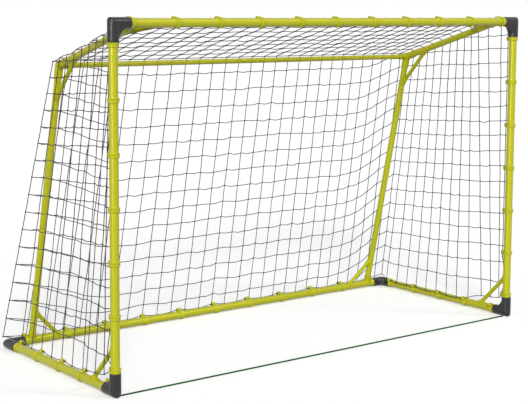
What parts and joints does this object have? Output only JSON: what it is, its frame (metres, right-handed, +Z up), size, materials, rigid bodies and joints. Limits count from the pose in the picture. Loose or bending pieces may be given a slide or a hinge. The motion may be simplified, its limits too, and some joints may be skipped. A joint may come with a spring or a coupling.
{
  "type": "futsal goal",
  "caption": "Free-standing box goal: a yellow tube frame with black corner elbows, net clips, a box net and a goal line cord.",
  "frame": {"origin": "on the floor, under the middle of the goal's box", "axes": "+X along the crossbar, +Y from the mouth towards the back of the net, +Z up"},
  "size_m": [3.1142, 1.2924, 2.0034],
  "materials": {
    "yellow_coating": "smooth semi-gloss powder coat on steel tube",
    "yellow_moulding": "smooth semi-gloss moulded plastic",
    "black_moulding": "satin moulded plastic",
    "net_cord": "dark braided cord",
    "line_cord": "dark green braided cord"
  },
  "bodies": {
    "root": {"crossbar": "yellow_coating", "crossbar_clips": "yellow_moulding", "goal_line_cord": "line_cord", "left_foot_saddle": "yellow_coating", "left_front_elbow": "black_moulding", "left_front_foot_brace": "yellow_coating", "left_ground_rail": "yellow_coating", "left_net": "net_cord", "left_post": "yellow_coating", "left_post_clip_1": "yellow_moulding", "left_post_clip_2": "yellow_moulding", "left_post_clip_3": "yellow_moulding", "left_post_clip_4": "yellow_moulding", "left_post_clip_5": "yellow_moulding", "left_post_clip_6": "yellow_moulding", "left_post_clip_7": "yellow_moulding", "left_post_rope": "net_cord", "left_rail_clips": "yellow_moulding", "left_rear_elbow": "black_moulding", "left_rear_fitting": "yellow_coating", "left_rear_foot_brace": "yellow_coating", "left_rear_top_brace": "yellow_coating", "left_roof_brace": "yellow_coating", "left_roof_rail": "yellow_coating", "left_roof_saddle": "yellow_coating", "left_stanchion": "yellow_coating", "left_top_elbow": "black_moulding", "rear_ground_rail": "yellow_coating", "rear_net": "net_cord", "rear_rail_clips": "yellow_moulding", "rear_top_bar": "yellow_coating", "right_foot_saddle": "yellow_coating", "right_front_elbow": "black_moulding", "right_front_foot_brace": "yellow_coating", "right_ground_rail": "yellow_coating", "right_net": "net_cord", "right_post": "yellow_coating", "right_post_clip_1": "yellow_moulding", "right_post_clip_2": "yellow_moulding", "right_post_clip_3": "yellow_moulding", "right_post_clip_4": "yellow_moulding", "right_post_clip_5": "yellow_moulding", "right_post_clip_6": "yellow_moulding", "right_post_clip_7": "yellow_moulding", "right_post_rope": "net_cord", "right_rail_clips": "yellow_moulding", "right_rear_elbow": "black_moulding", "right_rear_fitting": "yellow_coating", "right_rear_foot_brace": "yellow_coating", "right_rear_top_brace": "yellow_coating", "right_roof_brace": "yellow_coating", "right_roof_rail": "yellow_coating", "right_roof_saddle": "yellow_coating", "right_stanchion": "yellow_coating", "right_top_elbow": "black_moulding", "roof_net": "net_cord"}
  },
  "joints": []
}
